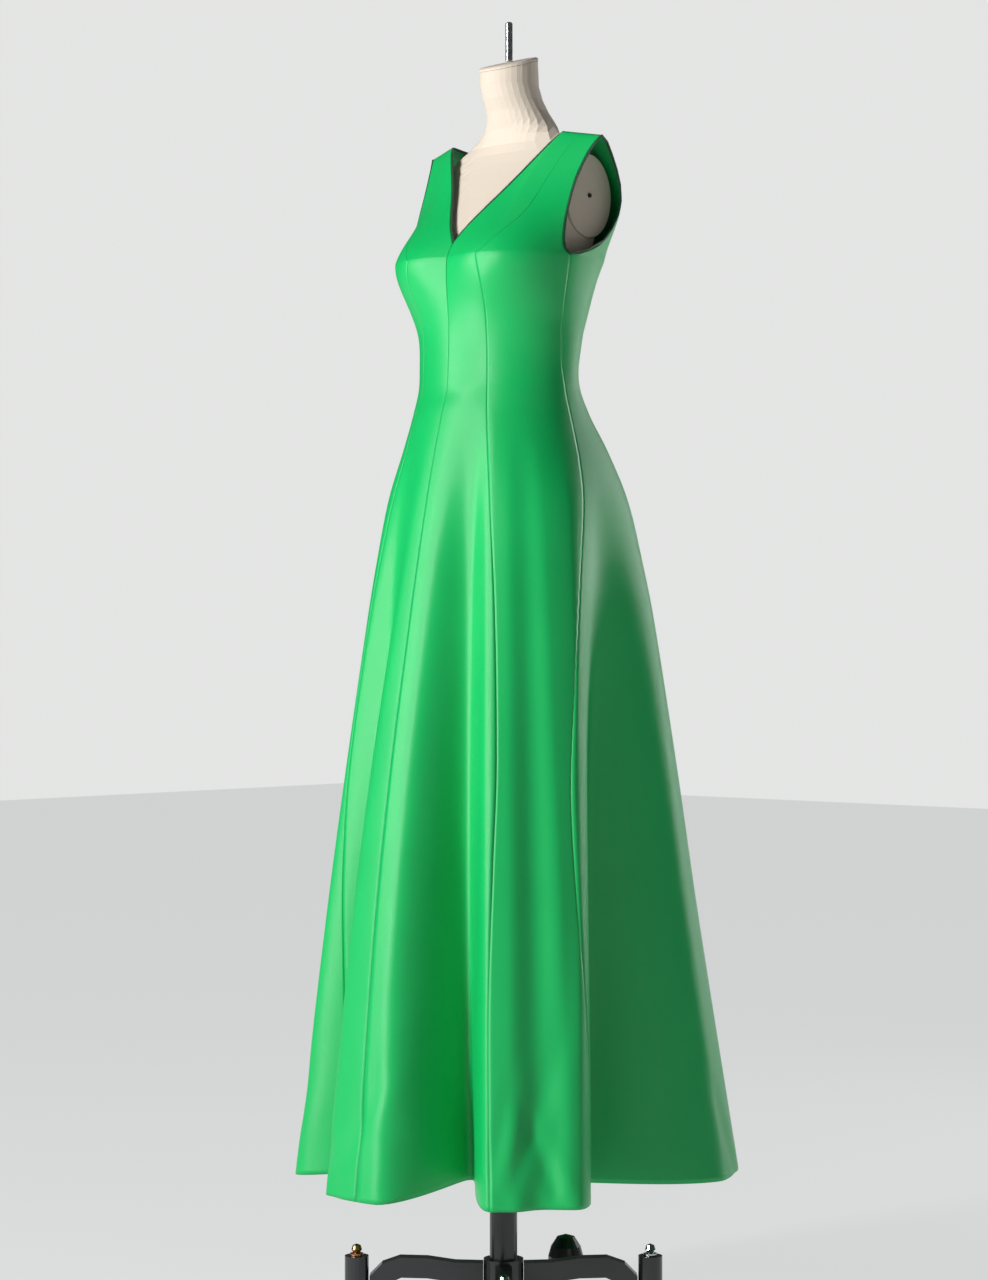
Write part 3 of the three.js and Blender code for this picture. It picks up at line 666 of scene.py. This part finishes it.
# %% [markdown]
# One tall lamp at the front shapes the flutes, a weak one behind draws the back edge, and a small one
# lifts the near side.

# %% Lamps
def area_lamp(name, azimuth, height, away, size, power, aim):
    data = bpy.data.lights.new(name, "AREA")
    data.shape = "RECTANGLE"
    data.size, data.size_y = size
    data.energy = power
    lamp = bpy.data.objects.new(name, data)
    turn = math.radians(azimuth)
    lamp.location = (POLE_X + away * math.sin(turn), POLE_Y - away * math.cos(turn), height)
    direction = Vector((POLE_X, POLE_Y, aim)) - lamp.location
    lamp.rotation_euler = direction.to_track_quat("-Z", "Y").to_euler()
    bpy.context.scene.collection.objects.link(lamp)


area_lamp("key", azimuth=-12, height=2.0, away=3.4, size=(0.5, 1.6), power=175, aim=1.0)
area_lamp("rim", azimuth=172, height=1.7, away=2.8, size=(0.5, 2.4), power=30, aim=0.9)
area_lamp("fill", azimuth=62, height=2.4, away=4.5, size=(0.5, 0.5), power=8, aim=1.0)

world = bpy.data.worlds.new("studio")
bpy.context.scene.world = world
world.use_nodes = True
world_nodes, world_links = world.node_tree.nodes, world.node_tree.links
surround = world_nodes["Background"]
surround.inputs["Color"].default_value = (0.9, 0.93, 0.95, 1)
surround.inputs["Strength"].default_value = 0.06
shown = world_nodes.new("ShaderNodeBackground")
shown.inputs["Color"].default_value = (0.86, 0.87, 0.86, 1)
shown.inputs["Strength"].default_value = 0.9
path = world_nodes.new("ShaderNodeLightPath")
pick = world_nodes.new("ShaderNodeMixShader")
world_links.new(path.outputs["Is Camera Ray"], pick.inputs["Fac"])
world_links.new(surround.outputs[0], pick.inputs[1])
world_links.new(shown.outputs[0], pick.inputs[2])
world_links.new(pick.outputs[0], world_nodes["World Output"].inputs["Surface"])
bpy.context.scene.view_settings.view_transform = "Standard"

# %% [markdown]
# The floor is plain and pale, and mostly gives its own even light, so that only a soft shadow shows.

# %% Floor
FLOOR_HALF, FLOOR_DROP, FLOOR_GLOW = 12, 0.0005, 0.85
bm = bmesh.new()
bmesh.ops.create_grid(bm, x_segments=1, y_segments=1, size=FLOOR_HALF)
bmesh.ops.translate(bm, verts=bm.verts, vec=(0, 0, -FLOOR_DROP))
floor_paint, floor_nodes, floor_links, floor_shader = plain_material("pale floor")
floor_shader.inputs["Base Color"].default_value = (0.8, 0.8, 0.8, 1)
floor_shader.inputs["Roughness"].default_value = 0.8
glow = floor_nodes.new("ShaderNodeEmission")
glow.inputs["Color"].default_value = (0.74, 0.75, 0.75, 1)
blend = floor_nodes.new("ShaderNodeMixShader")
blend.inputs["Fac"].default_value = FLOOR_GLOW
floor_links.new(floor_shader.outputs[0], blend.inputs[1])
floor_links.new(glow.outputs[0], blend.inputs[2])
floor_links.new(blend.outputs[0], floor_nodes["Material Output"].inputs["Surface"])
floor = finish_piece("floor", bm, floor_paint)

# %% [markdown]
# ## The frame's own pieces
#
# The stand, the form and the edging keep the frame's shapes. Each takes the material of its slot.

# %% Materials for the frame's pieces
FINISHES = {
    "iron": IRON,
    "chrome": CHROME,
    "brass": BRASS,
    "rubber": RUBBER,
    "linen": LINEN,
    # The edging's dark material is painted shade.
    "edging": EDGE_SHADE,
}
slots = {row["node"]: row["material_slot"] for row in frame["record"]["subparts"]}
for node, item in frame["nodes"].items():
    if slots[node] in FINISHES:
        item.data.materials.clear()
        item.data.materials.append(FINISHES[slots[node]])
